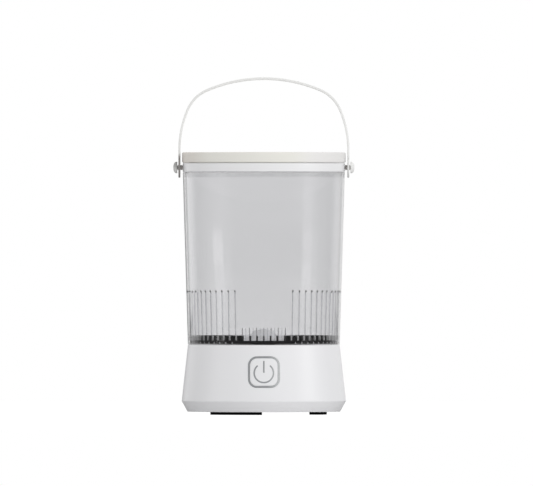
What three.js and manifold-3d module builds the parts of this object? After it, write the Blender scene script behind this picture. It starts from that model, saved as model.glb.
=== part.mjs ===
import * as THREE from "three";
import { mergeVertices } from "three/addons/utils/BufferGeometryUtils.js";
import Module from "manifold-3d";

// Portable mini washer: a clear ribbed tub on a round motor base, with a lift-off lid
// and a swinging bail handle. Millimetres, +Z up, front towards -Y, and the origin on
// the floor under the tub's axis.

const gap = 0.3; // assembly and running gap between neighbouring pieces
const roundSteps = 40; // facets round the large turned pieces
const smallSteps = 14; // facets round screws, pins and shafts

const base = {
  bottom: 2.9, sill: 13.5, top: 69.9, toeRadius: 76.3, sillRadius: 82.15, topRadius: 75.8,
  wall: 2.6, deck: 3, shaftHole: 13.5,
};
const cover = { radius: 72.9, thick: 3, screwCircle: 62, post: 3.6 };
const foot = { inner: 51.5, outer: 63, halfAngle: 28, height: 4.3 };
const tub = {
  bottom: 70.2, top: 242.2, bottomRadius: 75.9, topRadius: 81, wall: 2.1,
};
const rib = {
  count: 64, thick: 1.2, depth: 2.6, bottom: 74.3, longTop: 125.1, slope: 2.6, shortTop: 86.5,
  windowRibs: 3,
};
const gasket = {
  inner: 67, bandTop: 74, wallOuter: 70.9, wallTop: 79.1, window: 16, toothRibs: 2, toothWidth: 1.3,
};
const collar = { bottom: 242.5, top: 251.3, radius: 81, inner: 75.4, skirtBottom: 237.6 };
const lid = {
  bottom: 252.3, top: 262.2, radius: 81.7, edge: 1.3, wall: 3, roof: 2.6, plate: 2.5,
  skirtRadius: 73.4, skirtBottom: 245.4,
};
const handle = {
  pivot: 247, crown: 335.9, crownRadius: 144, crownSweep: 23.3, shoulderRadius: 36.5,
  shoulderSweep: 43.2, legRadius: 102, width: 14, eyeRadius: 10.2, crownThick: 2.6, eyeThick: 2,
};
const pin = { neck: 2.55, shank: 1.4, shankEnd: 77, capFace: 86.6, capEnd: 90.6, capRadius: 5.75 };
const button = {
  height: 42.6, size: 31.5, corner: 7.5, outline: 2, proud: 0.2, boardDepth: 12,
};
const symbol = { radius: 9.6, stroke: 1.5, drop: 0.8, opening: 40, barTop: 11, barFoot: -1.3 };
const gears = { module: 1.25, driven: 42, pinion: 14, bottom: 41, driveHeight: 7, backlash: 0.35 };
const motor = { radius: 16.5, bottom: 8, endBell: 3.7, top: 36.5 };
const bracket = { top: 38.8, thick: 2, posts: [[30, 24], [-30, 24], [16, 60], [-16, 60]], post: 3.2 };
const housing = { bottom: 49.5, top: 69.6, outer: 13.2, bore: 11.2, flange: 24, screwCircle: 19 };
const shaft = { radius: 4, bottom: 40.2, top: 74 };
const pulsator = {
  rim: 57, underside: 72, rimTop: 75, vanes: 6, vaneTop: 79.4, hubTop: 84, screwSeat: 79.7,
};
const inlet = { height: 25, radius: 6, face: 80.6, rear: 64 };

const wasm = await Module();
wasm.setup();
const rad = THREE.MathUtils.degToRad;
const washer = new THREE.Group();

const finishes = {
  shell: { color: 0xe8e8ea, roughness: 0.35, metalness: 0 },
  cream: { color: 0xe2dfd8, roughness: 0.5, metalness: 0 },
  clear: { color: 0xc9c9cb, roughness: 0.1, metalness: 0, transparent: true, opacity: 0.5 },
  rubber: { color: 0x161617, roughness: 0.8, metalness: 0 },
  silicone: { color: 0xd4d4d2, roughness: 0.7, metalness: 0 },
  greyPlastic: { color: 0xc4c6c8, roughness: 0.45, metalness: 0 },
  symbolGrey: { color: 0x9a9c9e, roughness: 0.4, metalness: 0 },
  steel: { color: 0x8d8f92, roughness: 0.3, metalness: 1 },
  brass: { color: 0xb5934a, roughness: 0.35, metalness: 1 },
  board: { color: 0x1f6b45, roughness: 0.5, metalness: 0 },
  darkPlastic: { color: 0x2a2b2d, roughness: 0.5, metalness: 0 },
  lead: { color: 0x8c1f1b, roughness: 0.6, metalness: 0 },
};

// --- solids ---------------------------------------------------------------------

// A closed mesh as a solid: its shared corners merged, its slivers dropped, facing out.
function solid(geometry) {
  geometry.deleteAttribute("normal");
  geometry.deleteAttribute("uv");
  const merged = mergeVertices(geometry, 1e-4);
  const index = merged.index.array;
  const triangles = [];
  for (let i = 0; i < index.length; i += 3) {
    const [a, b, c] = [index[i], index[i + 1], index[i + 2]];
    if (a !== b && b !== c && a !== c) triangles.push(a, b, c);
  }
  const vertProperties = new Float32Array(merged.attributes.position.array);
  const build = (list) => new wasm.Manifold(
    new wasm.Mesh({ numProp: 3, vertProperties, triVerts: new Uint32Array(list) }));
  const body = build(triangles);
  if (body.volume() > 0) return body;
  for (let i = 0; i < triangles.length; i += 3) {
    [triangles[i + 1], triangles[i + 2]] = [triangles[i + 2], triangles[i + 1]];
  }
  return build(triangles);
}

function geometryOf(body) {
  const mesh = body.getMesh();
  const geometry = new THREE.BufferGeometry();
  geometry.setAttribute("position", new THREE.BufferAttribute(mesh.vertProperties, 3));
  geometry.setIndex(new THREE.BufferAttribute(mesh.triVerts, 1));
  geometry.computeVertexNormals();
  return geometry;
}

const joined = (first, ...rest) => rest.reduce((sum, next) => sum.add(next), first);
const cutBy = (first, ...rest) => rest.reduce((sum, next) => sum.subtract(next), first);

// A profile of [radius, height] turned about +Z; a profile off the axis closes on itself.
function turned(profile, steps = roundSteps) {
  const points = profile.map(([r, z]) => new THREE.Vector2(r, z));
  if (profile[0][0] > 0 || profile.at(-1)[0] > 0) points.push(points[0].clone());
  return solid(new THREE.LatheGeometry(points, steps).rotateX(Math.PI / 2));
}

const rod = (radius, from, to, steps = smallSteps) =>
  turned([[0, from], [radius, from], [radius, to], [0, to]], steps);
const ring = (inner, outer, from, to, steps = smallSteps) =>
  turned([[inner, from], [outer, from], [outer, to], [inner, to]], steps);

// A flat outline pulled along +Z from one height to another.
function pulled(shape, from, to, curveSegments = 4) {
  const geometry = new THREE.ExtrudeGeometry(shape, {
    depth: to - from, bevelEnabled: false, curveSegments,
  });
  return solid(geometry.translate(0, 0, from));
}

function block(width, depth, height, x = 0, y = 0, z = 0) {
  return solid(new THREE.BoxGeometry(width, depth, height).translate(x, y, z));
}

function roundedSquare(size, corner) {
  const h = size / 2;
  const shape = new THREE.Shape();
  shape.moveTo(-h + corner, -h);
  shape.absarc(h - corner, -h + corner, corner, -Math.PI / 2, 0);
  shape.absarc(h - corner, h - corner, corner, 0, Math.PI / 2);
  shape.absarc(-h + corner, h - corner, corner, Math.PI / 2, Math.PI);
  shape.absarc(-h + corner, -h + corner, corner, Math.PI, Math.PI * 1.5);
  return shape;
}

function arcBand(inner, outer, fromDeg, toDeg) {
  const shape = new THREE.Shape();
  shape.absarc(0, 0, outer, rad(fromDeg), rad(toDeg), false);
  shape.absarc(0, 0, inner, rad(toDeg), rad(fromDeg), true);
  return shape;
}

// A solid moved by a matrix.
const moved = (body, matrix) => body.transform(matrix.elements);
const shifted = (body, x, y, z) => body.translate([x, y, z]);
const spun = (body, degrees) => body.rotate([0, 0, degrees]);

function addPart(name, body, finish, parent = washer) {
  const mesh = new THREE.Mesh(geometryOf(body), new THREE.MeshStandardMaterial(finishes[finish]));
  mesh.name = name;
  parent.add(mesh);
  return mesh;
}

// A screw along +Z: its head's underside at 0, its shank below, a driving slot across its top.
function screw(headRadius, headHeight, shankRadius, length) {
  const body = turned([
    [0, -length], [shankRadius, -length], [shankRadius, 0], [headRadius, 0],
    [headRadius * 0.9, headHeight], [0, headHeight],
  ], 10);
  const slot = block(1.2 * headRadius, 0.28 * headRadius, headHeight, 0, 0, headHeight);
  return body.subtract(slot);
}

// --- motor base -----------------------------------------------------------------

const wallSlope = (base.sillRadius - base.topRadius) / (base.top - base.sill);
const baseRadius = (z) => base.topRadius + (base.top - z) * wallSlope;
const deckUnder = base.top - base.deck;
const tilt = Math.atan(wallSlope);

// The button's own frame: x to the right, y up the wall, z straight out of it.
const buttonFrame = new THREE.Matrix4().makeBasis(
  new THREE.Vector3(1, 0, 0),
  new THREE.Vector3(0, Math.sin(tilt), Math.cos(tilt)),
  new THREE.Vector3(0, -Math.cos(tilt), Math.sin(tilt)),
).setPosition(0, -baseRadius(button.height), button.height);
const atButton = (body) => moved(body, buttonFrame);

// Everything within the base wall's cone, grown or shrunk by an amount.
function withinWall(offset) {
  const [low, high] = [22, 64];
  return turned([
    [0, low], [baseRadius(low) + offset, low], [baseRadius(high) + offset, high], [0, high],
  ]);
}

const postAngles = [60, 180, 300];
const onCircle = (radius, degrees) => [
  radius * Math.cos(rad(degrees)), radius * Math.sin(rad(degrees)),
];

function baseShell() {
  const toeInset = 3.05;
  let body = turned([
    [base.toeRadius, base.bottom], [base.sillRadius - 0.15, base.sill - 1.2],
    [base.sillRadius, base.sill], [baseRadius(base.top - 0.8), base.top - 0.8],
    [base.topRadius - 0.8, base.top], [base.shaftHole, base.top], [base.shaftHole, deckUnder],
    [baseRadius(deckUnder) - base.wall, deckUnder], [base.sillRadius - base.wall, base.sill],
    [base.toeRadius - toeInset, base.bottom],
  ]);
  const coverTop = base.bottom + cover.thick;
  for (const degrees of postAngles) {
    const [x, y] = onCircle(cover.screwCircle, degrees);
    const post = cutBy(rod(cover.post, coverTop + gap, deckUnder + 1, 16),
      rod(1.5, coverTop, coverTop + 14, 12));
    body = body.add(shifted(post, x, y, 0));
  }
  for (const [x, y] of bracket.posts) {
    const post = cutBy(rod(bracket.post, bracket.top + gap, deckUnder + 1, 16),
      rod(1.4, bracket.top, bracket.top + 10, 12));
    body = body.add(shifted(post, x, y, 0));
  }
  for (const x of [-boardPost, boardPost]) {
    const post = rod(2.4, -button.boardDepth + gap, -3.2, 14);
    body = body.add(atButton(shifted(post, x, 0, 0)));
    body = body.subtract(atButton(shifted(rod(1.4, -button.boardDepth, -6, 12), x, 0, 0)));
  }
  for (const degrees of housingScrewAngles) {
    const [x, y] = onCircle(housing.screwCircle, degrees);
    body = body.subtract(shifted(rod(1.4, deckUnder - 1, base.top - 0.7, 12), x, y, 0));
  }
  const window = roundedSquare(button.size + 2 * gap, button.corner + gap);
  const inletHole = shifted(rod(inlet.radius + gap, 70, 90).rotate([-90, 0, 0]), 0, 0, inlet.height);
  return cutBy(body, atButton(pulled(window, -6, 6)), inletHole);
}

function bottomCover() {
  const top = base.bottom + cover.thick;
  let body = rod(cover.radius, base.bottom, top, roundSteps);
  for (const degrees of footAngles) {
    const slack = gap / foot.inner * (180 / Math.PI);
    const recess = arcBand(foot.inner - gap, foot.outer + gap,
      -foot.halfAngle - slack, foot.halfAngle + slack);
    body = body.subtract(spun(pulled(recess, base.bottom - 1, foot.height + gap), degrees));
  }
  for (const degrees of postAngles) {
    const [x, y] = onCircle(cover.screwCircle, degrees);
    const hole = joined(rod(1.7, 0, top + 1, 12), rod(3.8, 0, base.bottom + 1.5, 16));
    body = body.subtract(shifted(hole, x, y, 0));
  }
  return body;
}

const boardPost = 19;
const footAngles = [0, 120, 240];
const footNames = ["foot_right", "foot_back_left", "foot_front_left"];
const housingScrewAngles = [30, 150, 270];

addPart("base_shell", baseShell(), "shell");
addPart("bottom_cover", bottomCover(), "shell");
footAngles.forEach((degrees, i) => {
  const pad = arcBand(foot.inner, foot.outer, -foot.halfAngle, foot.halfAngle);
  addPart(footNames[i], pulled(pad, 0, foot.height), "rubber").rotation.z = rad(degrees);
});
postAngles.forEach((degrees, i) => {
  const mesh = addPart(`cover_screw_${i + 1}`, screw(3.3, 1.2, 1.2, 13), "steel");
  mesh.rotation.x = Math.PI;
  mesh.position.set(...onCircle(cover.screwCircle, degrees), base.bottom + 1.5 - gap);
});

// --- power button and its board ------------------------------------------------------

function powerButton() {
  const size = button.size - 2 * button.outline - 2 * gap;
  const corner = button.corner - button.outline - gap;
  const backOf = -5;
  let body = atButton(pulled(roundedSquare(size, corner), backOf, 4));
  body = body.intersect(withinWall(button.proud));
  body = body.subtract(atButton(pulled(roundedSquare(size - 3.6, corner - 1.8), backOf - 1, -3)));
  body = body.add(atButton(rod(2.2, backOf - 0.5, -2.5, 14)));
  const engraved = joined(symbolArc(0.2), symbolBar(0.2)).subtract(withinWall(-0.9));
  return body.subtract(engraved);
}

// The power symbol's two strokes, grown by an amount all round, before they are trimmed.
function symbolArc(grow) {
  const half = symbol.stroke / 2 + grow;
  const slack = (grow / symbol.radius) * (180 / Math.PI);
  const shape = arcBand(symbol.radius - half, symbol.radius + half,
    90 + symbol.opening - slack, 450 - symbol.opening + slack);
  return atButton(shifted(pulled(shape, -3, 3, 12), 0, -symbol.drop, 0));
}

function symbolBar(grow) {
  const height = symbol.barTop - symbol.barFoot;
  const middle = (symbol.barTop + symbol.barFoot) / 2;
  return atButton(block(symbol.stroke + 2 * grow, height + 2 * grow, 6, 0, middle, 0));
}

const inlaid = (stroke) => stroke.intersect(withinWall(0.25)).subtract(withinWall(-0.6));

function buttonBezel() {
  const outer = pulled(roundedSquare(button.size, button.corner), -5, 4);
  const innerSize = button.size - 2 * button.outline;
  const inner = pulled(roundedSquare(innerSize, button.corner - button.outline), -6, 5);
  return atButton(outer.subtract(inner)).intersect(withinWall(0.25)).subtract(withinWall(-2.8));
}

function controlBoard() {
  const face = -button.boardDepth;
  const board = block(44, 34, 1.6, 0, 0, face - 0.8);
  const chip = block(12, 12, 1.8, -2, 5, face - 2.3);
  const socket = block(26, 5, 5, 0, -11, face - 3.9);
  const holes = [-boardPost, boardPost].map((x) => shifted(rod(1.5, face - 4, face + 1, 12), x, 0, 0));
  return cutBy(joined(board, chip, socket), ...holes);
}

function tactSwitch() {
  const face = -button.boardDepth + gap;
  return joined(block(6.2, 6.2, 3.5, 0, 0, face + 1.75), rod(1.7, face + 3, face + 4.9, 12));
}

addPart("power_button", powerButton(), "shell");
addPart("button_bezel", buttonBezel(), "symbolGrey");
addPart("symbol_arc", inlaid(symbolArc(0)), "symbolGrey");
addPart("symbol_bar", inlaid(symbolBar(0)), "symbolGrey");
addPart("control_board", atButton(controlBoard()), "board");
addPart("tact_switch", atButton(tactSwitch()), "darkPlastic");
[["board_screw_left", -boardPost], ["board_screw_right", boardPost]].forEach(([name, x]) => {
  const body = screw(2.6, 1.6, 1.1, 5.8).rotate([180, 0, 0]);
  addPart(name, atButton(shifted(body, x, 0, -button.boardDepth - 1.6 - gap)), "steel");
});

// --- motor and drive ------------------------------------------------------------

const gearCentres = gears.module * (gears.driven + gears.pinion) / 2;

// A spur gear's outline, with one tooth centred on +X; flanks are straight from root to tip.
function gearShape(teeth, bore) {
  const pitch = gears.module * teeth / 2;
  const [tip, root] = [pitch + 0.85 * gears.module, pitch - 1.15 * gears.module];
  const half = (Math.PI * gears.module / 2 - gears.backlash) / 2 / pitch;
  const lean = Math.tan(rad(20)) * gears.module / pitch;
  const shape = new THREE.Shape();
  for (let i = 0; i < teeth; i += 1) {
    const centre = (2 * Math.PI * i) / teeth;
    const corners = [
      [root, -half - 1.15 * lean], [tip, -half + 0.85 * lean],
      [tip, half - 0.85 * lean], [root, half + 1.15 * lean],
    ];
    for (const [r, a] of corners) {
      const [x, y] = [r * Math.cos(centre + a), r * Math.sin(centre + a)];
      if (i === 0 && r === root && a < 0) shape.moveTo(x, y);
      else shape.lineTo(x, y);
    }
  }
  const hole = new THREE.Path();
  hole.absarc(0, 0, bore, 0, 2 * Math.PI, true);
  shape.holes.push(hole);
  return shape;
}

function driveGear() {
  const [from, to] = [gears.bottom, gears.bottom + gears.driveHeight];
  const bore = shaft.radius + gap;
  const teeth = pulled(gearShape(gears.driven, bore), from, to, 8);
  const web = ring(9, 22, from + 4.5, to + 1);
  return teeth.subtract(web);
}

function motorCan() {
  const top = motor.top;
  const body = turned([
    [2, top - 1.2], [motor.radius - 0.8, top - 1.2], [motor.radius - 0.8, motor.bottom + motor.endBell],
    [motor.radius, motor.bottom + motor.endBell], [motor.radius, top - 0.8],
    [motor.radius - 0.8, top], [5.5, top], [5.5, top + 1.2], [2, top + 1.2],
  ], 16);
  const holes = motorScrewSides.map((side) => shifted(rod(1.3, top - 3, top + 1, 12), side * 10, 0, 0));
  return cutBy(body, ...holes);
}

function motorEndBell() {
  const top = motor.bottom + motor.endBell - gap;
  return turned([
    [0, motor.bottom], [motor.radius - 0.8, motor.bottom], [motor.radius, motor.bottom + 0.8],
    [motor.radius, top], [2, top], [2, motor.bottom + 1.6], [0, motor.bottom + 1.6],
  ], 16);
}

function motorRotor() {
  const shaftTop = gears.bottom + gears.driveHeight + 1;
  return turned([
    [0, motor.bottom + 2], [1.5, motor.bottom + 2], [1.5, 14.5], [6, 14.5], [6, 18], [11, 18],
    [11, 31], [1.5, 31], [1.5, shaftTop], [0, shaftTop],
  ], 14);
}

function motorBracket() {
  const [from, to] = [bracket.top - bracket.thick, bracket.top];
  const shape = new THREE.Shape();
  const [[sideX, sideY], , [rearX, rearY]] = bracket.posts;
  const edge = 6;
  shape.moveTo(-sideX, sideY - edge);
  shape.absarc(sideX, sideY, edge, -Math.PI / 2, rad(20));
  shape.absarc(rearX, rearY, edge, rad(20), Math.PI / 2);
  shape.absarc(-rearX, rearY, edge, Math.PI / 2, rad(160));
  shape.absarc(-sideX, sideY, edge, rad(160), rad(270));
  const plate = pulled(shape, from, to);
  const boss = shifted(rod(5.5 + gap, from - 1, to + 1), 0, gearCentres, 0);
  const holes = bracket.posts.map(([x, y]) => shifted(rod(1.6, from - 1, to + 1, 12), x, y, 0));
  const motorHoles = motorScrewSides.map((side) =>
    shifted(rod(1.6, from - 1, to + 1, 12), side * 10, gearCentres, 0));
  return cutBy(plate, boss, ...holes, ...motorHoles);
}

function bearingHousing() {
  const { bottom, top, outer, bore, flange } = housing;
  const flangeTop = deckUnder - gap;
  const body = turned([
    [bore, bottom], [outer, bottom], [outer, flangeTop - 3], [flange, flangeTop - 3],
    [flange, flangeTop], [outer, flangeTop], [outer, top], [bore, top], [bore, 60],
    [bore - 1.7, 60], [bore - 1.7, 57.3], [bore, 57.3],
  ], 16);
  const holes = housingScrewAngles.map((degrees) => {
    const [x, y] = onCircle(housing.screwCircle, degrees);
    return shifted(rod(1.6, flangeTop - 5, flangeTop + 1, 12), x, y, 0);
  });
  return cutBy(body, ...holes);
}

const motorScrewSides = [-1, 1];
const bearingRing = (from, to) =>
  ring(shaft.radius + gap, housing.bore - gap, from, to);

addPart("motor_can", motorCan(), "steel").position.y = gearCentres;
addPart("motor_end_bell", motorEndBell(), "darkPlastic").position.y = gearCentres;
addPart("motor_rotor", motorRotor(), "steel").position.y = gearCentres;
const pinionBody = pulled(gearShape(gears.pinion, 1.5 + gap), gears.bottom,
  gears.bottom + gears.driveHeight, 6);
const pinionMesh = addPart("motor_pinion", pinionBody, "brass");
pinionMesh.position.y = gearCentres;
pinionMesh.rotation.z = -Math.PI / 2;
addPart("motor_bracket", motorBracket(), "steel");
bracket.posts.forEach(([x, y], i) => {
  const mesh = addPart(`bracket_screw_${i + 1}`, screw(2.8, 1.8, 1.1, 8), "steel");
  mesh.rotation.x = Math.PI;
  mesh.position.set(x, y, bracket.top - bracket.thick - gap);
});
[["motor_screw_left", -10], ["motor_screw_right", 10]].forEach(([name, x]) => {
  const mesh = addPart(name, screw(2.4, 1.4, 1, 4.4), "steel");
  mesh.position.set(x, gearCentres, bracket.top + gap);
});
const gearMesh = addPart("drive_gear", driveGear(), "greyPlastic");
gearMesh.rotation.z = Math.PI / 2 + Math.PI / gears.driven;
addPart("drive_shaft", cutBy(rod(shaft.radius, shaft.bottom, shaft.top),
  rod(1.8, shaft.top - 10, shaft.top + 1, 12)), "steel");
addPart("bearing_housing", bearingHousing(), "darkPlastic");
housingScrewAngles.forEach((degrees, i) => {
  const mesh = addPart(`housing_screw_${i + 1}`, screw(2.6, 1.6, 1.1, 4.8), "steel");
  mesh.rotation.x = Math.PI;
  mesh.position.set(...onCircle(housing.screwCircle, degrees), deckUnder - 3 - 2 * gap);
});
addPart("lower_bearing", bearingRing(housing.bottom + 0.5, 57), "steel");
addPart("upper_bearing", bearingRing(60.3, 66.8), "steel");
addPart("shaft_seal", bearingRing(67.1, 70.9), "rubber");

// --- pulsator ---------------------------------------------------------------------

function pulsatorDisc() {
  const { rim, underside, rimTop, vanes, vaneTop, hubTop, screwSeat } = pulsator;
  const bore = shaft.radius + gap;
  let body = turned([
    [bore, underside], [rim - 1, underside], [rim, underside + 1.4], [rim - 1.2, rimTop],
    [24, rimTop + 1], [14, rimTop + 3], [9.4, hubTop], [6.3, hubTop], [6.3, screwSeat], [2, screwSeat],
    [2, shaft.top + gap], [bore, shaft.top + gap],
  ], 30);
  for (let i = 0; i < vanes; i += 1) {
    const vane = new THREE.Shape();
    vane.moveTo(10, rimTop - 1.5);
    vane.lineTo(rim - 4, rimTop - 1.5);
    vane.quadraticCurveTo(rim - 4, vaneTop - 2, rim - 12, vaneTop - 1);
    vane.quadraticCurveTo(28, vaneTop - 0.3, 10, vaneTop);
    const blade = pulled(vane, -2.2, 2.2, 2).rotate([90, 0, 0]);
    body = body.add(spun(blade, 30 + (360 / vanes) * i));
  }
  const screwWay = joined(rod(6.3, screwSeat, hubTop + 2), rod(2, shaft.top - 2, screwSeat + gap),
    rod(bore, underside - 12, shaft.top + gap));
  return body.subtract(screwWay);
}

addPart("pulsator", pulsatorDisc(), "greyPlastic");
const pulsatorScrew = addPart("pulsator_screw", screw(4.2, 2.2, 1.5, 14), "steel");
pulsatorScrew.position.z = pulsator.screwSeat + gap;
addPart("pulsator_cap", turned([
  [0, -1.5], [6, -1.5], [6, -0.4], [4.6, 0.8], [2.4, 1.4], [0, 1.6],
].map(([radius, rise]) => [radius, pulsator.hubTop + rise]), 24), "greyPlastic");

// --- tub, gasket and rim collar ----------------------------------------------------

const tubSlope = (tub.topRadius - tub.bottomRadius) / (tub.top - tub.bottom);
const tubOuter = (z) => tub.bottomRadius + (z - tub.bottom) * tubSlope;
const tubInner = (z) => tubOuter(z) - tub.wall;

// How many rib places a rib stands from the nearer of the front and back windows' centres.
function ribIsShort(place) {
  const fromFront = Math.min(place, rib.count - place);
  const fromBack = Math.abs(rib.count / 2 - fromFront);
  return Math.min(fromFront, fromBack) <= rib.windowRibs;
}
const ribAngle = (place) => -90 + (360 / rib.count) * place;

// One rib in the +X half of the XZ plane, rooted in the wall.
function ribBody(top) {
  const shape = new THREE.Shape();
  const root = 0.6;
  shape.moveTo(tubInner(rib.bottom) - rib.depth, rib.bottom);
  shape.lineTo(tubInner(rib.bottom) + root, rib.bottom);
  shape.lineTo(tubInner(top) + root, top);
  shape.lineTo(tubInner(top), top);
  shape.lineTo(tubInner(top) - rib.depth, top - rib.slope);
  return pulled(shape, -rib.thick / 2, rib.thick / 2).rotate([90, 0, 0]);
}

function clearTub() {
  const wall = turned([
    [tubInner(tub.bottom), tub.bottom], [tub.bottomRadius, tub.bottom], [tub.topRadius, tub.top],
    [tubInner(tub.top), tub.top],
  ]);
  const ribs = [];
  for (let place = 0; place < rib.count; place += 1) {
    const body = ribBody(ribIsShort(place) ? rib.shortTop : rib.longTop);
    ribs.push(spun(body, ribAngle(place)));
  }
  return joined(wall, ...ribs);
}

// A low band under the ribs, with a taller wall inside their tips. The wall is left out in the
// front and back windows, where only thin teeth stand behind the ribs.
function tubGasket() {
  const { inner, bandTop, wallOuter, wallTop, window, toothRibs, toothWidth } = gasket;
  let body = ring(inner, tubInner(tub.bottom) - gap, tub.bottom, bandTop, roundSteps);
  for (const middle of [0, 180]) {
    const wall = arcBand(inner, wallOuter, middle - 90 + window, middle + 90 - window);
    body = body.add(pulled(wall, bandTop - 1, wallTop, 10));
  }
  const height = wallTop - bandTop + 1;
  const tooth = block(wallOuter - inner, toothWidth, height,
    (wallOuter + inner) / 2, 0, wallTop - height / 2);
  for (let place = -toothRibs; place <= toothRibs; place += 1) {
    body = body.add(spun(tooth, ribAngle(place))).add(spun(tooth, ribAngle(place) + 180));
  }
  return body;
}

function rimCollar() {
  const skirtRadius = tubInner(collar.skirtBottom) - gap;
  const body = turned([
    [collar.inner, collar.skirtBottom], [skirtRadius, collar.skirtBottom],
    [skirtRadius, collar.bottom], [collar.radius, collar.bottom],
    [collar.radius, collar.top - 0.5], [collar.radius - 0.5, collar.top],
    [collar.inner, collar.top],
  ]);
  const pinHole = rod(pin.shank + gap, -90, 90, 14).rotate([0, 90, 0]);
  return body.subtract(shifted(pinHole, 0, 0, handle.pivot));
}

addPart("tub", clearTub(), "clear");
addPart("tub_gasket", tubGasket(), "rubber");
addPart("rim_collar", rimCollar(), "shell");

// --- lid -----------------------------------------------------------------------------

addPart("lid_cover", turned([
  [0, lid.top], [lid.radius - lid.edge, lid.top], [lid.radius - 0.4, lid.top - 0.4],
  [lid.radius, lid.top - lid.edge], [lid.radius, lid.bottom], [lid.radius - lid.wall, lid.bottom],
  [lid.radius - lid.wall, lid.top - lid.roof], [0, lid.top - lid.roof],
]), "cream");
const sealZ = { low: 247, high: 250, groove: 1.1 };
addPart("lid_plug", turned([
  [0, lid.bottom + lid.plate], [lid.radius - lid.wall - gap, lid.bottom + lid.plate],
  [lid.radius - lid.wall - gap, lid.bottom], [lid.skirtRadius, lid.bottom],
  [lid.skirtRadius, sealZ.high], [lid.skirtRadius - sealZ.groove, sealZ.high],
  [lid.skirtRadius - sealZ.groove, sealZ.low], [lid.skirtRadius, sealZ.low],
  [lid.skirtRadius, lid.skirtBottom], [lid.skirtRadius - 2.2, lid.skirtBottom],
  [lid.skirtRadius - 2.2, lid.bottom], [0, lid.bottom],
]), "shell");
addPart("lid_seal", turned([
  [lid.skirtRadius - sealZ.groove + gap, sealZ.low + gap], [collar.inner - gap, sealZ.low + 1],
  [collar.inner - gap, sealZ.high - 1], [lid.skirtRadius - sealZ.groove + gap, sealZ.high - gap],
]), "silicone");

// --- bail handle and its pivots --------------------------------------------------------

// The strap's centreline from the crown to one end: three arcs that meet without a corner,
// then straight down. Each point has its place, its outward direction and its share of the way.
function strapLine() {
  const points = [];
  let [x, z, angle] = [0, handle.crown, 0];
  const legSweep = 90 - handle.crownSweep - handle.shoulderSweep;
  const arcs = [
    [handle.crownRadius, handle.crownSweep, 5], [handle.shoulderRadius, handle.shoulderSweep, 7],
    [handle.legRadius, legSweep, 3],
  ];
  for (const [radius, sweep, steps] of arcs) {
    const [cx, cz] = [x - radius * Math.sin(angle), z - radius * Math.cos(angle)];
    const start = angle;
    for (let i = points.length ? 1 : 0; i <= steps; i += 1) {
      angle = start + rad(sweep) * i / steps;
      [x, z] = [cx + radius * Math.sin(angle), cz + radius * Math.cos(angle)];
      points.push({ x, z, angle });
    }
  }
  points.push({ x, z: handle.pivot - handle.eyeRadius - 1, angle: Math.PI / 2 });
  return points;
}

function handleStrap() {
  const line = strapLine();
  const halfAt = (z) => {
    const share = (z - handle.pivot) / (handle.crown - handle.pivot);
    return THREE.MathUtils.lerp(handle.eyeThick, handle.crownThick, Math.max(0, share)) / 2;
  };
  const side = (sign) => line.map(({ x, z, angle }) => [
    x + sign * halfAt(z) * Math.sin(angle), z + sign * halfAt(z) * Math.cos(angle),
  ]);
  const mirrored = (points) => points.map(([x, z]) => [-x, z]).reverse().slice(0, -1);
  const [outer, inner] = [side(1), side(-1)];
  const outline = [...mirrored(outer), ...outer, ...[...mirrored(inner), ...inner].reverse()];
  const arch = new THREE.Shape(outline.map(([x, z]) => new THREE.Vector2(x, z)));
  const band = pulled(arch, -handle.eyeRadius, handle.eyeRadius).rotate([90, 0, 0]);

  // The width seen from the side: a round eye that runs into the strap through two fillets.
  const half = handle.width / 2;
  const fillet = 14;
  const rise = Math.sqrt((handle.eyeRadius + fillet) ** 2 - (half + fillet) ** 2);
  const meet = Math.atan2(rise, half + fillet);
  const width = new THREE.Shape();
  width.moveTo(half, handle.crown + 4);
  width.lineTo(half, handle.pivot + rise);
  width.absarc(half + fillet, handle.pivot + rise, fillet, Math.PI, Math.PI + meet, false);
  width.absarc(0, handle.pivot, handle.eyeRadius, meet, -Math.PI - meet, true);
  width.absarc(-half - fillet, handle.pivot + rise, fillet, -meet, 0, false);
  width.lineTo(-half, handle.crown + 4);
  const profile = pulled(width, -90, 90, 10).rotate([90, 0, 90]);
  const pinHole = rod(pin.neck + gap, -90, 90, 16).rotate([0, 90, 0]);
  return band.intersect(profile).subtract(shifted(pinHole, 0, 0, handle.pivot));
}

// Pin and cap are turned about +Z and then laid along +X from the tub's axis outwards.
function pivotPin() {
  return turned([
    [0, pin.shankEnd], [pin.shank, pin.shankEnd], [pin.shank, collar.radius + gap],
    [pin.neck, collar.radius + gap],
    [pin.neck, pin.capFace - gap], [1.6, pin.capFace - gap], [1.6, 88.4], [0, 88.4],
  ], 16);
}

function pivotCap() {
  const [face, end, radius] = [pin.capFace, pin.capEnd, pin.capRadius];
  return turned([
    [1.6 + gap, face], [radius, face], [radius, face + 1.5], [radius * 0.88, face + 2.7],
    [radius * 0.6, end - 0.4], [0, end], [0, 88.4 + gap], [1.6 + gap, 88.4 + gap],
  ], 14);
}

addPart("handle_strap", handleStrap(), "shell");
for (const [side, turn] of [["right", 90], ["left", -90]]) {
  const lay = (body) => shifted(body.rotate([0, turn, 0]), 0, 0, handle.pivot);
  addPart(`pivot_pin_${side}`, lay(pivotPin()), "steel");
  addPart(`pivot_cap_${side}`, lay(pivotCap()), "shell");
}

// --- power inlet and inner leads -------------------------------------------------------

function dcInlet() {
  const body = turned([
    [0, inlet.rear], [inlet.radius, inlet.rear], [inlet.radius, 73.5], [8.4, 73.5], [8.4, 75.8],
    [inlet.radius, 75.8], [inlet.radius, inlet.face], [3.2, inlet.face], [3.2, 70], [1.1, 70],
    [1.1, inlet.face - 1.2], [0, inlet.face - 1.2],
  ], 14);
  return shifted(body.rotate([-90, 0, 0]), 0, 0, inlet.height);
}

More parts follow.
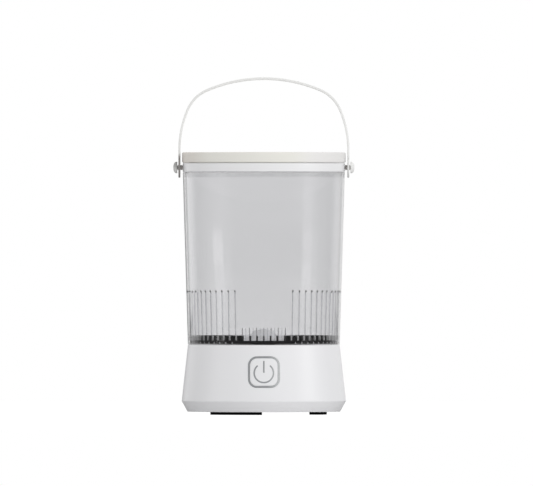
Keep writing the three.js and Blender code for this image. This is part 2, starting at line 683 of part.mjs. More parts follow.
function leadThrough(points) {
  const section = new THREE.Shape();
  section.absarc(0, 0, 1.6, 0, 2 * Math.PI);
  const route = new THREE.CatmullRomCurve3(points.map((p) => new THREE.Vector3(...p)));
  return solid(new THREE.ExtrudeGeometry(section, {
    extrudePath: route, steps: 18, bevelEnabled: false, curveSegments: 4,
  }));
}

const boardBack = (x) =>
  new THREE.Vector3(x, -11, -button.boardDepth - 6.4 - 2 * gap).applyMatrix4(buttonFrame).toArray();
addPart("dc_inlet", dcInlet(), "darkPlastic");
addPart("supply_lead", leadThrough([
  [0, inlet.rear - 1, inlet.height], [0, inlet.rear - 4, inlet.height], [5, 56, 18],
  [14, 53.5, 13], [30, 40, 10.5], [42, 20, 10],
  [44, -5, 10], [36, -28, 11], [20, -44, 17], [9, -51, 26], boardBack(8),
]), "lead");
addPart("motor_lead", leadThrough([
  [-motor.radius - gap - 0.2, gearCentres, 10], [-22, 34, 10], [-34, 22, 10], [-42, 0, 10],
  [-36, -26, 11], [-20, -44, 17], [-9, -51, 26], boardBack(-8),
]), "darkPlastic");

export default washer;
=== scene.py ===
from math import atan, atan2, cos, hypot, inf, pi, radians, sin, sqrt, tan
import bpy
import bmesh
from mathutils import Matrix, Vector


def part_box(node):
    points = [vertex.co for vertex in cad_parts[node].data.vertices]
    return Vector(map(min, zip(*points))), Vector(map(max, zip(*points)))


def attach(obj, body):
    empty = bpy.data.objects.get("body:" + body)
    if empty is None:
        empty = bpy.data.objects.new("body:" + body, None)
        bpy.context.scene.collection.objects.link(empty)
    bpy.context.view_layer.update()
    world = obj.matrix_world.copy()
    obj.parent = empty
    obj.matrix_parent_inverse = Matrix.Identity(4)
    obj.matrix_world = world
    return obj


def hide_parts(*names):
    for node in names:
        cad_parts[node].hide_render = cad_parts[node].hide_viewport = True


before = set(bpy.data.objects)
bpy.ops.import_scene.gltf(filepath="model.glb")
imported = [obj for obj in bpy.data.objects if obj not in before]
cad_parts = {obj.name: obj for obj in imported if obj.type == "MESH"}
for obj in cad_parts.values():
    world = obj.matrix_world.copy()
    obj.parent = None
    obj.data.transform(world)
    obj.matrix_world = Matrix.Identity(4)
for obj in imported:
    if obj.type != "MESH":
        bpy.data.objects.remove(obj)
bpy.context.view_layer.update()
scene = bpy.context.scene
mm = 0.001

# heights and reaches that the pieces share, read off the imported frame
baseLow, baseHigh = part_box("base_shell")
tubLow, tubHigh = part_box("tub")
collarLow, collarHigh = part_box("rim_collar")
lidLow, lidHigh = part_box("lid_cover")
plugLow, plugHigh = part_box("lid_plug")
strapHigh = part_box("handle_strap")[1]
capLow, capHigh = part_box("pivot_cap_right")
gasketLow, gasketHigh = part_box("tub_gasket")
pivotHeight = (capLow.z + capHigh.z) / 2
print("frame loaded:", len(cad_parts), "nodes")


# node maths
def joinedBy(operation):
    # a method that joins a wire and another value by one operation
    def method(self, other):
        return self.maths(operation, other)
    return method


class Wire:
    # one output socket of a node, used in sums like a number
    def __init__(self, bench, socket):
        self.bench = bench
        self.socket = socket

    def __getitem__(self, name):
        return Wire(self.bench, self.socket.node.outputs[name])

    def maths(self, operation, *others):
        return self.bench.add("ShaderNodeMath", dict(enumerate((self,) + others)), operation=operation)

    def __rsub__(self, other):
        return self * -1 + other

    __add__ = __radd__ = joinedBy("ADD")
    __sub__ = joinedBy("SUBTRACT")
    __mul__ = __rmul__ = joinedBy("MULTIPLY")
    __truediv__ = joinedBy("DIVIDE")
    __pow__ = joinedBy("POWER")
    __gt__ = joinedBy("GREATER_THAN")
    __lt__ = joinedBy("LESS_THAN")

    def band(self, low, high, outLow=0.0, outHigh=1.0):
        # eases from outLow to outHigh while the value goes from low to high
        return self.bench.add("ShaderNodeMapRange", {
            "Value": self, "From Min": low, "From Max": high, "To Min": outLow, "To Max": outHigh},
            interpolation_type="SMOOTHSTEP")


class Bench:
    # a node tree being built
    def __init__(self, tree):
        self.tree = tree

    def feed(self, socket, value):
        if isinstance(value, Wire):
            self.tree.links.new(value.socket, socket)
        else:
            socket.default_value = value

    def add(self, kind, values=None, out=0, **settings):
        node = self.tree.nodes.new(kind)
        for key, value in settings.items():
            setattr(node, key, value)
        self.fill(node, values or {})
        return Wire(self, node.outputs[out])

    def fill(self, node, values):
        for key, value in values.items():
            self.feed(node.inputs[key], value)

    def mix(self, share, first, second):
        return self.add("ShaderNodeMix", {0: share, 6: first, 7: second}, out=2, data_type="RGBA")

    def split(self, vector):
        return self.add("ShaderNodeSeparateXYZ", {0: vector})


# finishes
def newFinish(name, recipe=None, *look):
    material = bpy.data.materials.new(name)
    material.use_nodes = True
    bench = Bench(material.node_tree)
    shader = material.node_tree.nodes["Principled BSDF"]
    place = bench.add("ShaderNodeTexCoord", out="Object")
    if recipe is not None:
        recipe(bench, shader, place, *look)
    return material, bench, shader, place


def noiseOf(bench, place, scale, detail=2.0):
    return bench.add("ShaderNodeTexNoise", {"Vector": place, "Scale": scale, "Detail": detail})


def bumped(bench, shader, height, strength, distance):
    bump = bench.add("ShaderNodeBump", {"Strength": strength, "Distance": distance, "Height": height})
    bench.feed(shader.inputs["Normal"], bump)


def blended(bench, share, first, second):
    # shows the first shader where the share is 0 and the second where it is 1
    both = bench.add("ShaderNodeMixShader", {0: share, 1: first, 2: second})
    bench.feed(bench.tree.nodes["Material Output"].inputs["Surface"], both)


def grey(level):
    return (level, level, level, 1.0)


def darkened(colour, share):
    return tuple(c * share for c in colour[:3]) + (1.0,)


plasticLook = {"swing": 0.05, "shade": 0.985, "strength": 0.25, "depth": 0.00002}


def mouldedPlastic(bench, shader, place, colour, roughness, grain=900.0, specular=0.5):
    # moulded plastic: faint flow marks in tone and gloss, and a fine spark-eroded grain
    look = plasticLook
    flow = noiseOf(bench, place, 18.0, 3.0)
    bench.fill(shader, {
        "Base Color": bench.mix(flow, darkened(colour, look["shade"]), colour),
        "Roughness": roughness - look["swing"] / 2 + flow * look["swing"], "Specular IOR Level": specular})
    bumped(bench, shader, noiseOf(bench, place, grain, 1.0), look["strength"], look["depth"])


def blackRubber(bench, shader, place):
    # matt rubber with a faint bloom and a fine grain
    bloom = noiseOf(bench, place, 60.0, 4.0)
    bench.fill(shader, {
        "Base Color": bench.mix(bloom, (0.002, 0.002, 0.0025, 1), (0.005, 0.005, 0.0055, 1)),
        "Roughness": 0.62 + bloom * 0.2, "Specular IOR Level": 0.1})
    bumped(bench, shader, noiseOf(bench, place, 1400.0), 0.4, 0.00005)


def brushedMetal(bench, shader, place, colour, roughness, stretch=(2600, 2600, 40), metallic=1.0):
    # turned or drawn metal: fine lines along the work's axis, with a little tarnish
    lines = noiseOf(bench, bench.add("ShaderNodeMapping", {"Vector": place, "Scale": stretch}), 1.0)
    tarnish = noiseOf(bench, place, 140.0, 3.0)
    bench.fill(shader, {"Base Color": bench.mix(tarnish, darkened(colour, 0.8), colour),
            "Roughness": roughness + lines * 0.12, "Metallic": metallic})
    bumped(bench, shader, lines, 0.15, 0.00003)


def circuitBoard(bench, shader, place):
    # green resist with rows of raised tracks and bright pads
    spots = bench.add("ShaderNodeTexVoronoi", {"Vector": place, "Scale": 420.0}, out="Distance")
    tracks = bench.add("ShaderNodeTexWave", {
        "Vector": place, "Scale": 190.0, "Distortion": 3.0, "Detail": 1.0}, out="Fac")
    resist = bench.mix(tracks > 0.6, (0.006, 0.07, 0.03, 1), (0.012, 0.13, 0.06, 1))
    bench.fill(shader, {"Base Color": bench.mix(spots < 0.22, resist, (0.55, 0.5, 0.4, 1)),
            "Roughness": 0.35 + tracks * 0.15})
    bumped(bench, shader, tracks, 0.3, 0.00005)


# gloss of clear plastic: the share reflected straight on and the share added at a glancing look
clearLook = {"headOn": 0.04, "grazing": 0.9, "roughness": 0.07, "swing": 0.04}


def clearPlastic(bench, shader, place, tint, grazing=1.0, headOn=1.0):
    # see-through plastic: tinted light through it and a mirror-like gloss over it
    look = clearLook
    facing = bench.add("ShaderNodeLayerWeight", {"Blend": 0.5}, out="Facing")
    share = facing ** 5 * (look["grazing"] * grazing) + look["headOn"] * headOn
    through = bench.add("ShaderNodeBsdfTransparent", {"Color": tint})
    bench.fill(shader, {"Base Color": grey(1), "Metallic": 1.0,
            "Roughness": look["roughness"] + noiseOf(bench, place, 9.0) * look["swing"]})
    blended(bench, share, through, Wire(bench, shader.outputs[0]))


def milkyPlastic(bench, shader, place, colour, share):
    # half-clear plastic: part of it scatters light and the rest lets it through
    cloud = noiseOf(bench, place, 300.0)
    bench.fill(shader, {"Base Color": colour, "Roughness": 0.4 + cloud * 0.1})
    through = bench.add("ShaderNodeBsdfTransparent", {"Color": grey(0.96)})
    blended(bench, cloud * (share * 0.2) + share * 0.9, through, Wire(bench, shader.outputs[0]))


def addPaintedLight(material, spans, tone):
    # lays a painted light and shade tone over part of a finish; a span is (axis, from, to, share at from,
    # share at to)
    bench = Bench(material.node_tree)
    socket = material.node_tree.nodes["Principled BSDF"].inputs["Base Color"]
    colour = Wire(bench, socket.links[0].from_socket)
    place = bench.split(bench.add("ShaderNodeTexCoord", out="Object"))
    share = 1.0
    for axis, *span in spans:
        share = place[axis].band(*span) * share
    bench.feed(socket, bench.mix(share, colour, tone))


# colour, roughness, then the grain's scale and the specular level where they differ
plastics = {
    "shellWhite": ((0.80, 0.80, 0.815, 1), 0.34),
    "rimWhite": ((0.80, 0.80, 0.81, 1), 0.32),
    "lidCream": ((0.775, 0.765, 0.715, 1), 0.45, 700.0, 0.35),
    "handleWhite": ((0.80, 0.80, 0.79, 1), 0.36),
    "capWhite": ((0.80, 0.80, 0.79, 1), 0.36),
    "trimGrey": ((0.30, 0.31, 0.32, 1), 0.3),
    "drumGrey": ((0.84, 0.84, 0.85, 1), 0.42),
    "darkPlastic": ((0.02, 0.02, 0.022, 1), 0.4),
    "silicone": ((0.6, 0.6, 0.59, 1), 0.55),
    "leadRed": ((0.25, 0.015, 0.012, 1), 0.5),
    "leadBlack": ((0.02, 0.02, 0.02, 1), 0.5),
}
# what one face lets through, then its shares of the glancing and of the head-on gloss
clears = {
    "clearWall": ((0.906, 0.906, 0.911, 1.0),),
    "clearSkirt": (grey(0.985), 0.3, 0.6),
    "clearRib": (grey(0.985), 0.3, 0.3),
    # painted shade: a darker tint for the line at a rib's root
    "ribEdgeShade": ((0.94, 0.94, 0.945, 1.0), 0.2, 0.5),
    # painted shade: a grey tint for the slanted top of a rib
    "ribTopShade": (grey(0.62), 0.2, 0.5),
    # painted shade: a darker tint for the line at a short rib's root
    "shortEdgeShade": ((0.82, 0.82, 0.825, 1.0), 0.2, 0.5),
    # painted shade: a near-black tint for the dark spots at the side ribs' tops
    "ribKnuckleShade": (grey(0.08), 0.2, 0.5),
}
others = {
    "blackRubber": (blackRubber,),
    "steel": (brushedMetal, (0.55, 0.56, 0.58, 1), 0.25),
    "pinSteel": (brushedMetal, (0.80, 0.765, 0.74, 1), 0.5, (40, 2600, 2600), 0.1),
    "brass": (brushedMetal, (0.62, 0.45, 0.18, 1), 0.28),
    "boardGreen": (circuitBoard,),
    "milky": (milkyPlastic, (0.85, 0.85, 0.85, 1), 0.5),
}
finish = {name: newFinish(name, mouldedPlastic, *look)[0] for name, look in plastics.items()}
finish.update({name: newFinish(name, clearPlastic, *look)[0] for name, look in clears.items()})
finish.update({name: newFinish(name, *look)[0] for name, look in others.items()})
# painted light and shade: a deeper, warmer painted shade towards the lid's left side and a plainer, cooler
# painted light towards its right, painted shade on the left end of the strap and on the left stud, and a
# painted highlight on the button's trim at its right
for name, spans, tone in (
        # painted shade: a deeper, warmer tone over the lid's left side
        ("lidCream", [("X", -0.084, -0.052, 0.85, 0.0)], (0.65, 0.605, 0.56, 1)),
        # painted light: a plainer, cooler tone over the lid's right side, where the light falls
        ("lidCream", [("X", 0.022, 0.058, 0.0, 1.0)], (0.762, 0.752, 0.742, 1)),
        # painted shade on the strap's left end, fading out just above the lid
        ("handleWhite", [("X", -0.084, -0.081, 1.0, 0.0), ("Z", 0.2565, 0.2620, 0.85, 0.0)],
         (0.22, 0.20, 0.19, 1)),
        # painted shade on the left stud's head, darkest towards its top
        ("capWhite", [("X", -0.084, -0.081, 1.0, 0.0), ("Z", 0.2430, 0.2525, 0.25, 0.8)],
         (0.17, 0.165, 0.16, 1)),
        # painted highlight: the button's trim lighter on its right side
        ("trimGrey", [("X", 0.002, 0.0155, 0.0, 1.0)], (0.50, 0.515, 0.52, 1))):
    addPaintedLight(finish[name], spans, tone)
print("finishes made:", len(finish))


# mesh helpers
def inScene(name, data):
    made = bpy.data.objects.new(name, data)
    scene.collection.objects.link(made)
    return made


def makePiece(name, mesh, body, material, stands=(), sharp=35.0):
    # a finished mesh in the row frame becomes a piece that rides on a body
    if material is not None:
        mesh.materials.clear()
        mesh.materials.append(finish[material])
    mesh.polygons.foreach_set("use_smooth", [True] * len(mesh.polygons))
    mesh.set_sharp_from_angle(angle=radians(sharp))
    piece = inScene(name, mesh)
    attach(piece, body)
    if stands:
        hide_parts(*stands)


def meshFrom(name, points, faces):
    # closed shape from points and faces: doubles merged, faces turned outwards
    shape = bmesh.new()
    verts = [shape.verts.new(p) for p in points]
    for face in faces:
        corners = [verts[i] for i in dict.fromkeys(face)]
        if len(corners) > 2:
            shape.faces.new(corners)
    bmesh.ops.remove_doubles(shape, verts=shape.verts, dist=1e-7)
    bmesh.ops.recalc_face_normals(shape, faces=shape.faces)
    mesh = bpy.data.meshes.new(name)
    shape.to_mesh(mesh)
    shape.free()
    return mesh


def rounded(corners, steps=5):
    # an outline of (across, up, fillet) corners that closes on itself, its corners as arcs
    line = []
    for i, (across, up, fillet) in enumerate(corners):
        here = Vector((across, up))
        if not fillet:
            line.append(here)
            continue
        before = (Vector(corners[i - 1][:2]) - here).normalized()
        after = (Vector(corners[(i + 1) % len(corners)][:2]) - here).normalized()
        half = before.angle(after) / 2
        middle = here + (before + after).normalized() * (fillet / sin(half))
        start = here + before * (fillet / tan(half)) - middle
        end = here + after * (fillet / tan(half)) - middle
        sweep = pi - 2 * half
        for k in range(steps + 1):
            t = k / steps
            first, last = sin((1 - t) * sweep), sin(t * sweep)
            line.append(middle + (start * first + end * last) / sin(sweep))
    return line


def between(first, second):
    # the faces that join two rings of points, given by their numbers
    count = len(first)
    return [(first[i], first[(i + 1) % count], second[(i + 1) % count], second[i]) for i in range(count)]


def numbered(count, total):
    return [range(k * count, (k + 1) * count) for k in range(total)]


def anglesRound(steps, start=0.0):
    return [2 * pi * (k + start) / steps for k in range(steps)]


def ringsMesh(name, rings, capped=False):
    # joins rings of points, each with the same number, into a loop or into a bar with two caps
    numbers = numbered(len(rings[0]), len(rings))
    faces = []
    for k in range(len(rings) - 1 if capped else len(rings)):
        faces += between(numbers[k], numbers[(k + 1) % len(rings)])
    if capped:
        faces += [tuple(numbers[0]), tuple(numbers[-1])]
    return meshFrom(name, [p for ring in rings for p in ring], faces)


def barMesh(name, ends):
    # a four-sided bar along +Z: (height, near, far, half its width) at each end
    return ringsMesh(name, [[(near, -half, z), (far, -half, z), (far, half, z), (near, half, z)]
            for z, near, far, half in ends], capped=True)


def slabMesh(name, outline, half):
    # an outline of (across, up) with half its thickness on each side
    return ringsMesh(name, [[(x, side, z) for x, z in outline] for side in (-half, half)], capped=True)


def turned(line, angle):
    # an outline of (radius, height) points at an angle round +Z, counted from the front
    return [Vector((p.x * sin(angle), -p.x * cos(angle), p.y)) for p in line]


def turnedMesh(name, outline, steps=192, axis="Z", centre=(0, 0, 0)):
    # an outline of (radius, height) turned about an axis through a centre; it closes on itself
    points, faces = [], []
    count = len(outline)
    numbers = numbered(count, steps)
    for k, angle in enumerate(anglesRound(steps)):
        for r, h in outline:
            a, b = r * sin(angle), -r * cos(angle)
            points.append(Vector(centre) + Vector({"Z": (a, b, h), "X": (h, a, -b)}[axis]))
        for i, face in enumerate(between(numbers[k], numbers[(k + 1) % steps])):
            if max(outline[i][0], outline[(i + 1) % count][0]) >= 1e-9:
                faces.append(face)
    return meshFrom(name, points, faces)


def inMetres(corners):
    return [(a * mm, b * mm, f * mm) for a, b, f in corners]


# base shell: a turned wall whose front and back carry patches with an opening in each
baseLook = {
    "sill": 13.5, "sillFillet": 2.2, "toe": 76.3, "toeFillet": 0.6, "topRadius": 75.8, "topFillet": 0.7,
    "wall": 2.6, "deckHole": 13.5, "deckThick": 3.0, "columns": 240, "rows": 24,
    "rowsLow": 16.5, "rowsHigh": 65.0, "frontColumns": 24, "backColumns": 10, "backRows": 9,
    "windowGap": 0.03, "windowCorner": 8.95, "lift": 0.5, "rimRound": 0.25,
    "inletHeight": 25.0, "inletHole": 6.35,
}
sillRadius = baseHigh.x
wallSlope = (sillRadius - baseLook["topRadius"] * mm) / (baseHigh.z - baseLook["sill"] * mm)


def wallRadius(z):
    return baseLook["topRadius"] * mm + (baseHigh.z - z) * wallSlope


tilt = atan(wallSlope)
buttonLow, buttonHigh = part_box("button_bezel")
buttonHeight = (buttonLow.z + buttonHigh.z) / 2 + baseLook["lift"] * mm
buttonUp = Vector((0, sin(tilt), cos(tilt)))
buttonOut = Vector((0, -cos(tilt), sin(tilt)))


def onWall(x, y, out, height=buttonHeight, turn=1):
    # the point over (x, y) of a plane on the wall that stands `out` from it; turn -1 is the back
    point = Vector((x, -wallRadius(height), height)) + buttonUp * y
    for _ in range(6):
        radius = hypot(point.x, point.y)
        lean = -point.y / radius * cos(tilt) + sin(tilt) * wallSlope
        point = point + buttonOut * ((wallRadius(point.z) + out - radius) / lean)
    return Vector((point.x * turn, point.y * turn, point.z))


def squareReach(angle, half, corner):
    # how far a rounded square's outline is from its centre in one direction
    c, s = abs(cos(angle)), abs(sin(angle))
    straight = half - corner
    if s * half <= straight * c:
        return half / c
    if c * half <= straight * s:
        return half / s
    return straight * (c + s) + sqrt(max(corner ** 2 - (straight * (s - c)) ** 2, 0))


def squareRing(half, corner, out, angles, height=buttonHeight, turn=1):
    return [onWall(squareReach(a, half, corner) * cos(a), squareReach(a, half, corner) * sin(a),
            out, height, turn) for a in angles]


def shellLine():
    # the section of the shell, with rows on both faces of its wall: (line, first outer, first inner)
    look = baseLook
    bottom, top, sill = baseLow.z, baseHigh.z, look["sill"] * mm
    wall, toe, hole = look["wall"] * mm, look["toe"] * mm, look["deckHole"] * mm
    deck = top - look["deckThick"] * mm
    inDeck, inSill = wallRadius(deck) - wall, sillRadius - wall
    low, high, rows = look["rowsLow"] * mm, look["rowsHigh"] * mm, look["rows"]
    heights = [low + (high - low) * k / rows for k in range(rows + 1)]
    outer = rounded([(toe - 3 * mm, bottom, 0), (toe, bottom, look["toeFillet"] * mm),
            (sillRadius, sill, look["sillFillet"] * mm), (wallRadius(top), top, 0)])[:-1]
    rim = rounded([(wallRadius(deck), deck, 0), (wallRadius(top), top, look["topFillet"] * mm),
            (hole, top, 0.4 * mm), (hole, deck, 0), (inDeck, deck, 1.5 * mm), (inSill, sill, 0)])[1:-1]
    foot = rounded([(inDeck, deck, 0), (inSill, sill, 1.5 * mm), (toe - 3 * mm, bottom, 0)])[1:-1]
    line = outer + [Vector((wallRadius(z), z)) for z in heights] + rim
    firstInner = len(line)
    line += [Vector((wallRadius(z) - wall, z)) for z in reversed(heights)] + foot
    return line, len(outer), firstInner


def addRing(points, faces, previous, ring):
    fresh = range(len(points), len(points) + len(ring))
    points += ring
    faces += between(previous, fresh)
    return fresh


def fillPatch(points, faces, edges, height, turn, half, corner):
    # rings ease from the rows' edge to the opening on each face of the wall, then one joins the two
    ends, angles = [], None
    for edge, out in zip(edges, (0, -baseLook["wall"] * mm)):
        flat = []
        for i in edge:
            point = points[i]
            local = Vector((point.x * turn, point.y * turn + wallRadius(height), point.z - height))
            flat.append((local.x, local.dot(buttonUp)))
        if angles is None:
            angles = [atan2(y, x) for x, y in flat]
        last = edge
        for share in (0.35, 0.62, 0.8, 0.91, 0.965, 1.0):
            ring = []
            for (x, y), angle in zip(flat, angles):
                reach = squareReach(angle, half, corner) * share
                ring.append(onWall((1 - share) * x + reach * cos(angle),
                        (1 - share) * y + reach * sin(angle), out, height, turn))
            last = addRing(points, faces, last, ring)
        ends.append(last)
    near = baseLook["rimRound"] * mm
    for shrink, out in ((0.28 * near, -0.28 * near), (0, -near)):
        ring = squareRing(half - near + shrink, corner - near + shrink, out, angles, height, turn)
        ends[0] = addRing(points, faces, ends[0], ring)
    faces += between(ends[0], ends[1])


def shellMesh():
    look = baseLook
    columns, rows = look["columns"], look["rows"]
    line, firstOuter, firstInner = shellLine()
    numbers = numbered(len(line), columns)
    # (first column, columns, rows) of the front and back patches
    front = (-look["frontColumns"] // 2, look["frontColumns"], rows)
    back = (columns // 2 - look["backColumns"] // 2, look["backColumns"], look["backRows"])
    points, faces = [], []
    for k, angle in enumerate(anglesRound(columns)):
        points += turned(line, angle)
        for i, face in enumerate(between(numbers[k], numbers[(k + 1) % columns])):
            row = i - firstOuter if i < firstInner else rows - 1 - (i - firstInner)
            if not any((k - first) % columns < wide and 0 <= row < tall
                       for first, wide, tall in (front, back)):
                faces.append(face)

    def edgeOf(patch, inner):
        # the points round a patch, on the inner or the outer face of the wall
        first, wide, tall = patch

        def at(k, row):
            return numbers[(first + k) % columns][firstInner + rows - row if inner else firstOuter + row]

        edge = [at(k, 0) for k in range(wide)] + [at(wide, r) for r in range(tall)]
        return edge + [at(wide - k, tall) for k in range(wide)] + [at(0, tall - r) for r in range(tall)]

    window = (buttonHigh.x - buttonLow.x) / 2 + (look["windowGap"] + look["rimRound"]) * mm
    corner = (look["windowCorner"] + look["rimRound"]) * mm
    edges = [edgeOf(front, inner) for inner in (False, True)]
    fillPatch(points, faces, edges, buttonHeight, 1, window, corner)
    hole = (look["inletHole"] + look["rimRound"]) * mm
    edges = [edgeOf(back, inner) for inner in (False, True)]
    fillPatch(points, faces, edges, look["inletHeight"] * mm, -1, hole, hole)
    return meshFrom("baseShell", points, faces)


makePiece("baseShell", shellMesh(), "base", "shellWhite", ["base_shell"], sharp=28)
print("base shell done")


# button
buttonLook = {
    "bezelHalf": 15.7, "bezelCorner": 8.9, "outline": 1.7, "clearance": 0.14,
    "arcRadius": 9.6, "stroke": 1.5, "opening": 40.0, "drop": 0.95, "barTop": 11.1, "barFoot": -0.7,
    "corners": 96, "arcSteps": 72, "barShare": 0.95, "skirt": 1.8,
}
buttonAngles = anglesRound(buttonLook["corners"], 0.5)


def squareStack(name, sizes):
    # a loop of rounded squares of (half, corner, out) in millimetres
    rings = [squareRing(h * mm, c * mm, out * mm, buttonAngles) for h, c, out in sizes]
    return ringsMesh(name, rings)


def bezelMesh():
    half, corner, wide = buttonLook["bezelHalf"], buttonLook["bezelCorner"], buttonLook["outline"]
    inner, innerCorner = half - wide, corner - wide
    return squareStack("buttonBezel", [
        (half, corner, -2.6), (half, corner, 0.0), (half - 0.2, corner - 0.2, 0.18),
        (half - 0.5, corner - 0.5, 0.22), (inner + 0.5, innerCorner + 0.5, 0.22),
        (inner + 0.2, innerCorner + 0.2, 0.18), (inner, innerCorner, 0.0), (inner, innerCorner, -2.6)])


def buttonMesh():
    inset = buttonLook["outline"] + buttonLook["clearance"]
    half, corner = buttonLook["bezelHalf"] - inset, buttonLook["bezelCorner"] - inset
    skirt = buttonLook["skirt"]
    sizes = [(half - skirt, corner - skirt, -4.6), (half, corner, -4.6), (half, corner, -0.2),
             (half - 0.15, corner - 0.1, 0.06), (half - 0.5, corner - 0.3, 0.18)]
    sizes += [(half * share, corner * share, 0.2) for share in (0.85, 0.7, 0.5, 0.3, 0.12, 0.02)]
    sizes += [(half * share, corner * share, -2.4) for share in (0.02, 0.5)]
    return squareStack("powerButton", sizes + [(half - skirt, corner - skirt, -2.4)])


def strokeMesh(name, line, share):
    # a raised stroke on the button's face along (x, y, the direction across it)
    half = buttonLook["stroke"] / 2
    section = [(-half, -0.4), (-half, 0.26), (-half + 0.15, 0.36), (0, 0.38), (half - 0.15, 0.36),
               (half, 0.26), (half, -0.4)]
    return ringsMesh(name, [[onWall((x + ax * a * share) * mm, (y + ay * a * share) * mm, out * mm)
            for a, out in section] for x, y, (ax, ay) in line], capped=True)


def symbolArcMesh():
    radius, drop, steps = buttonLook["arcRadius"], buttonLook["drop"], buttonLook["arcSteps"]
    start, end = 90 + buttonLook["opening"], 450 - buttonLook["opening"]
    line = []
    for k in range(steps + 1):
        angle = radians(start + (end - start) * k / steps)
        x, y = cos(angle), sin(angle)
        line.append((radius * x, radius * y - drop, (x, y)))
    return strokeMesh("symbolArc", line, 1.0)


def symbolBarMesh():
    foot, top = buttonLook["barFoot"], buttonLook["barTop"]
    line = [(0, foot + (top - foot) * k / 10, (1, 0)) for k in range(11)]
    return strokeMesh("symbolBar", line, buttonLook["barShare"])


makePiece("buttonBezel", bezelMesh(), "base", "trimGrey", ["button_bezel"], sharp=50)
makePiece("powerButton", buttonMesh(), "button", "shellWhite", ["power_button"], sharp=50)
makePiece("symbolArc", symbolArcMesh(), "button", "trimGrey", ["symbol_arc"])
makePiece("symbolBar", symbolBarMesh(), "button", "trimGrey", ["symbol_bar"])
print("button done")


# tub
tubLook = {"wall": 2.1, "foot": 75.9, "rimFillet": 0.6, "ribs": 64, "windowRibs": 3}
# the painted-shade slab at a rib's top is (thickness, offset from the wall, reach, climb, width); the
# painted highlight at a heel is (width, near, far)
ribLook = {"thick": 1.1, "depth": 1.7, "root": 0.4, "longTop": 125.1, "shortTop": 86.5, "bottom": 74.3,
           "slope": 2.6, "edgeWide": 0.7, "edgeDeep": 0.6, "top": (0.8, -0.1, 0.8, 1.2, 1.1),
           "knuckle": (1.6, 1.45, 0.6, 0.8, 0.9), "heel": (0.95, 71.0, 72.8), "sideHeel": (1.1, 71.0, 74.6),
           "heelTall": 4.8, "notchLow": -3.2, "notchHigh": -1.3, "notchHalf": 0.7, "notchThick": 0.35}
tubSlope = (tubHigh.x - tubLook["foot"] * mm) / (tubHigh.z - tubLow.z)


def tubOuter(z):
    return tubHigh.x - (tubHigh.z - z) * tubSlope


def tubInner(z):
    return tubOuter(z) - tubLook["wall"] * mm


def tubWallMesh():
    fillet = tubLook["rimFillet"] * mm
    return turnedMesh("tubWall", rounded([
        (tubInner(tubLow.z), tubLow.z, 0.3 * mm), (tubOuter(tubLow.z), tubLow.z, 0.5 * mm),
        (tubHigh.x, tubHigh.z, fillet), (tubInner(tubHigh.z), tubHigh.z, fillet)], 4), 256)


def ribMesh(top):
    # one rib along +X with its foot on the ground plane, rooted just inside the wall
    look = ribLook
    foot, depth, root = look["bottom"] * mm, look["depth"] * mm, look["root"] * mm
    rise = top * mm - foot
    low, high = tubInner(foot), tubInner(foot + rise)
    return slabMesh("rib", [
        (low - depth, 0), (low + root, 0), (high + root, rise), (high, rise),
        (high - depth, rise - min(look["slope"] * mm, rise / 3))], look["thick"] * mm / 2)


def ribEdgeShadeMesh(top):
    # painted shade: a dark line where a rib grows out of the wall, standing in for the darkening that the
    # clear rib's refraction gives there
    look = ribLook
    foot, half, deep = look["bottom"] * mm, look["edgeWide"] * mm / 2, look["edgeDeep"] * mm / 2
    return barMesh("ribEdgeShade", [(z, tubInner(foot + z) - deep, tubInner(foot + z) + deep, half)
            for z in (0.0, top * mm - foot)])


def ribTopShadeMesh(thick, offset, reach, climb, wide):
    # painted shade: a dark slab along the slanted end of a rib, from its crest up and out into the wall,
    # standing in for the darkening that refraction gives there
    look = ribLook
    low = (look["longTop"] - look["slope"] - look["bottom"]) * mm
    start, half = tubInner(look["longTop"] * mm) + offset * mm, thick * mm / 2
    end, high = start + reach * mm, low + climb * mm
    return slabMesh("ribTopShade", [
        (start, low - half), (end, high - half), (end, high + half), (start, low + half)], wide * mm / 2)


def ribHeelHighlightMesh(wide, near, far):
    # painted highlight: a milky bar at the foot of a rib, standing in for the light the clear rib catches in
    # front of the black ring
    return barMesh("heel", [(z, near * mm, far * mm, wide * mm / 2) for z in (0, ribLook["heelTall"] * mm)])


def notchMesh():
    # a small light wedge in front of the band, midway between two ribs
    look = ribLook
    face, half = gasketHigh.x + 0.1 * mm, look["notchHalf"] * mm
    low, high = look["notchLow"] * mm, look["notchHigh"] * mm
    return ringsMesh("notch", [[(x, -half, low), (x, half, low), (x, 0, high)]
            for x in (face, face + look["notchThick"] * mm)], capped=True)


